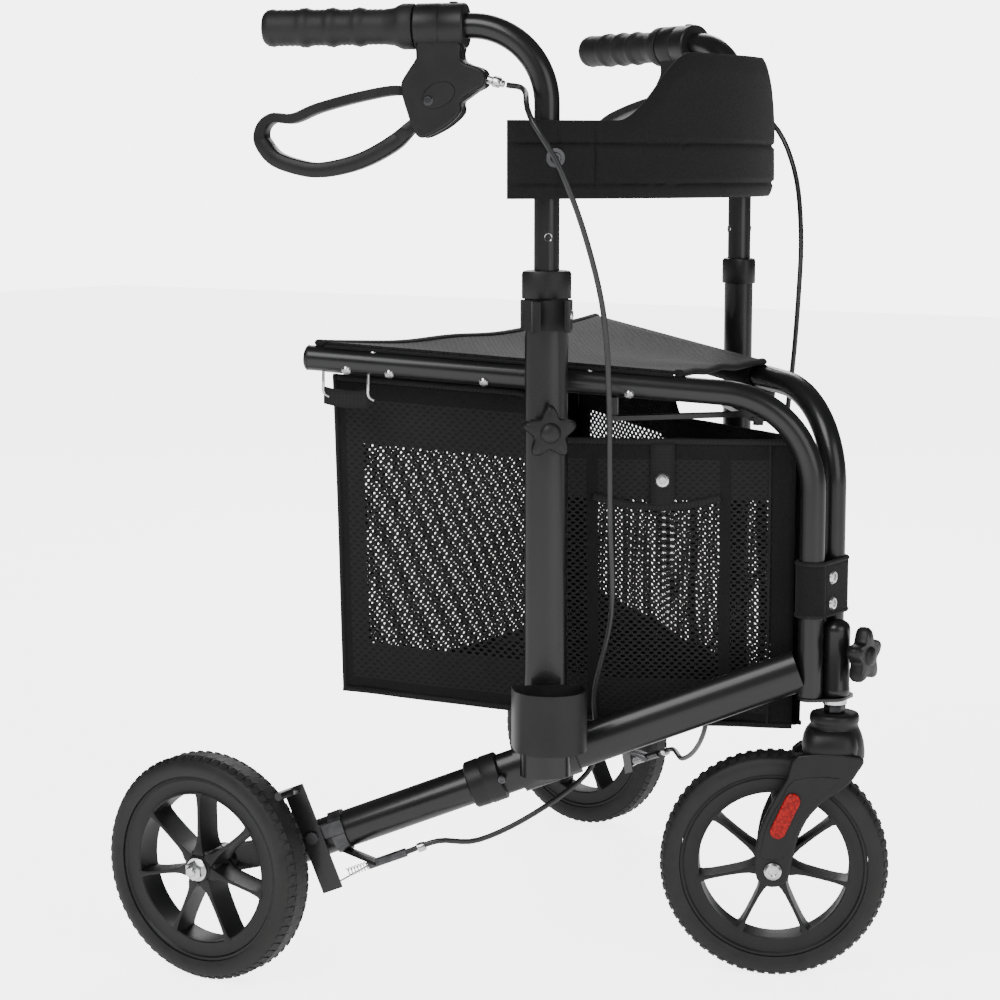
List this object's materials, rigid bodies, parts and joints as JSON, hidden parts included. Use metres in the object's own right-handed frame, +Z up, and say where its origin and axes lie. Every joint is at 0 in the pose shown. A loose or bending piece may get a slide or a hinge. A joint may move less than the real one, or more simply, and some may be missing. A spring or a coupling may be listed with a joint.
{
  "type": "three-wheel rollator walker",
  "caption": "Folding rollator with a swivelling front wheel, sling seat, under-seat mesh bag, backrest band, loop brake levers and a cane holder.",
  "frame": {"origin": "bottom centre of the bounding box, on the floor", "axes": "+Z up; the walker rolls towards -Y; +X is the left of the user who stands behind it"},
  "size_m": [0.6806, 0.6024, 0.8467],
  "materials": {
    "black_plastic": "fine-grained black moulding",
    "bright_steel": "zinc-plated steel",
    "cable_sheath": "black cable sheath",
    "frame_paint": "satin black powder coat",
    "grip_rubber": "soft black rubber",
    "mesh_fabric": "black air-mesh fabric",
    "nylon_webbing": "black woven nylon",
    "red_reflector": "red reflector lens",
    "tyre_rubber": "black moulded rubber"
  },
  "bodies": {
    "head": {"bag": "mesh_fabric", "caster_socket": "frame_paint", "front_strap": "nylon_webbing", "hinge_plate": "frame_paint", "seat": "mesh_fabric"},
    "frame_right": {"brake_cable_right": "cable_sheath", "brake_mount_right": "black_plastic", "cane_clip": "black_plastic", "cane_cup": "black_plastic", "lower_tube_right": "frame_paint", "rail_end_plug_right": "black_plastic", "rear_axle_right": "bright_steel", "rear_stay_right": "frame_paint", "top_rail_right": "frame_paint", "tube_collar_right": "black_plastic", "upright_cap_right": "black_plastic", "upright_foot_right": "frame_paint", "upright_right": "frame_paint"},
    "frame_left": {"brake_cable_left": "cable_sheath", "brake_mount_left": "black_plastic", "lower_tube_left": "frame_paint", "rail_end_plug_left": "black_plastic", "rear_axle_left": "bright_steel", "rear_stay_left": "frame_paint", "top_rail_left": "frame_paint", "tube_collar_left": "black_plastic", "upright_cap_left": "black_plastic", "upright_foot_left": "frame_paint", "upright_left": "frame_paint"},
    "height_knob_right": {"height_knob_right": "black_plastic"},
    "height_knob_left": {"height_knob_left": "black_plastic"},
    "handle_right": {"barrel_adjuster_right": "bright_steel", "brake_housing_right": "black_plastic", "handle_grip_right": "grip_rubber", "handle_tube_right": "frame_paint"},
    "handle_left": {"barrel_adjuster_left": "bright_steel", "brake_housing_left": "black_plastic", "handle_grip_left": "grip_rubber", "handle_tube_left": "frame_paint"},
    "lever_right": {"brake_lever_right": "black_plastic"},
    "lever_left": {"brake_lever_left": "black_plastic"},
    "rear_wheel_right": {"rear_rim_right": "black_plastic", "rear_tyre_right": "tyre_rubber"},
    "rear_wheel_left": {"rear_rim_left": "black_plastic", "rear_tyre_left": "tyre_rubber"},
    "brake_arm_right": {"brake_arm_right": "frame_paint"},
    "brake_arm_left": {"brake_arm_left": "frame_paint"},
    "brace_right": {"brace_link_right": "frame_paint"},
    "brace_left": {"brace_link_left": "frame_paint"},
    "backrest": {"backrest": "nylon_webbing"},
    "front_knob": {"front_knob": "black_plastic"},
    "fork": {"caster_stem": "bright_steel", "fork": "black_plastic", "fork_reflector_left": "red_reflector", "fork_reflector_right": "red_reflector", "front_axle": "bright_steel"},
    "front_wheel": {"front_rim": "black_plastic", "front_tyre": "tyre_rubber"}
  },
  "joints": [
    {"name": "frame_right_fold", "type": "hinge", "parent": "head", "child": "frame_right", "pos_m": [-0.0197, -0.23841, 0.2532], "axis": [0, 0, -1], "range_deg": [0, 25], "deforming": ["seat", "bag", "backrest"]},
    {"name": "frame_left_fold", "type": "hinge", "parent": "head", "child": "frame_left", "pos_m": [0.0197, -0.23841, 0.2532], "axis": [0, 0, 1], "range_deg": [0, 25]},
    {"name": "brace_right_fold", "type": "hinge", "parent": "frame_right", "child": "brace_right", "pos_m": [-0.10311, -0.08731, 0.493], "axis": [0, 0, -1], "range_deg": [0, 12.03]},
    {"name": "brace_left_fold", "type": "hinge", "parent": "frame_left", "child": "brace_left", "pos_m": [0.10311, -0.08731, 0.493], "axis": [0, 0, 1], "range_deg": [0, 12.03]},
    {"name": "handle_right_height", "type": "slide", "parent": "frame_right", "child": "handle_right", "axis": [0, 0, 1], "range_m": [-0.05, 0.1], "deforming": ["brake_cable_right"]},
    {"name": "handle_left_height", "type": "slide", "parent": "frame_left", "child": "handle_left", "axis": [0, 0, 1], "range_m": [-0.05, 0.1], "deforming": ["brake_cable_left"]},
    {"name": "backrest_height", "type": "slide", "parent": "head", "child": "backrest", "axis": [0, 0, 1], "range_m": [-0.05, 0.1]},
    {"name": "lever_right_pull", "type": "hinge", "parent": "handle_right", "child": "lever_right", "pos_m": [-0.2049, 0.03177, 0.7656], "axis": [0.9291, 0.3697, 0], "range_deg": [0, 15], "stiffness_Nm_per_rad": 1.2, "springref_deg": -17.19},
    {"name": "lever_left_pull", "type": "hinge", "parent": "handle_left", "child": "lever_left", "pos_m": [0.2049, 0.03177, 0.7656], "axis": [0.9291, -0.3697, 0], "range_deg": [0, 15], "stiffness_Nm_per_rad": 1.2, "springref_deg": -17.19},
    {"name": "brake_arm_right_turn", "type": "hinge", "parent": "frame_right", "child": "brake_arm_right", "pos_m": [-0.25842, 0.12539, 0.1258], "axis": [-0.8563, -0.5165, 0], "range_deg": [0, 4.6]},
    {"name": "brake_arm_left_turn", "type": "hinge", "parent": "frame_left", "child": "brake_arm_left", "pos_m": [0.25842, 0.12539, 0.1258], "axis": [-0.8563, 0.5165, 0], "range_deg": [0, 4.6]},
    {"name": "height_knob_right_turn", "type": "hinge", "parent": "frame_right", "child": "height_knob_right", "pos_m": [-0.1683, -0.06021, 0.4896], "axis": [-0.766, -0.6428, 0], "continuous": true},
    {"name": "height_knob_left_turn", "type": "hinge", "parent": "frame_left", "child": "height_knob_left", "pos_m": [0.1683, -0.06021, 0.4896], "axis": [0.766, -0.6428, 0], "continuous": true},
    {"name": "rear_wheel_right_roll", "type": "hinge", "parent": "frame_right", "child": "rear_wheel_right", "pos_m": [-0.3125, 0.20079, 0.1], "axis": [-0.9976, -0.0698, 0], "continuous": true},
    {"name": "rear_wheel_left_roll", "type": "hinge", "parent": "frame_left", "child": "rear_wheel_left", "pos_m": [0.3125, 0.20079, 0.1], "axis": [-0.9976, 0.0698, 0], "continuous": true},
    {"name": "fork_turn", "type": "hinge", "parent": "head", "child": "fork", "pos_m": [0, -0.25291, 0.25], "axis": [0, 0, 1], "continuous": true},
    {"name": "front_wheel_roll", "type": "hinge", "parent": "fork", "child": "front_wheel", "pos_m": [-0.02268, -0.20723, 0.1], "axis": [-0.8957, -0.4446, 0], "continuous": true},
    {"name": "front_knob_turn", "type": "hinge", "parent": "head", "child": "front_knob", "pos_m": [0, -0.25291, 0.2905], "axis": [0, -1, 0], "continuous": true}
  ],
  "couplings": [
    {"joint": "frame_left_fold", "follows": "frame_right_fold", "ratio": 1},
    {"joint": "brace_right_fold", "follows": "frame_right_fold", "ratio": 0.46515},
    {"joint": "brace_left_fold", "follows": "frame_right_fold", "ratio": 0.46515},
    {"joint": "handle_left_height", "follows": "handle_right_height", "ratio": 1},
    {"joint": "backrest_height", "follows": "handle_right_height", "ratio": 1},
    {"joint": "brake_arm_right_turn", "follows": "lever_right_pull", "ratio": 0.3},
    {"joint": "brake_arm_left_turn", "follows": "lever_left_pull", "ratio": 0.3}
  ]
}
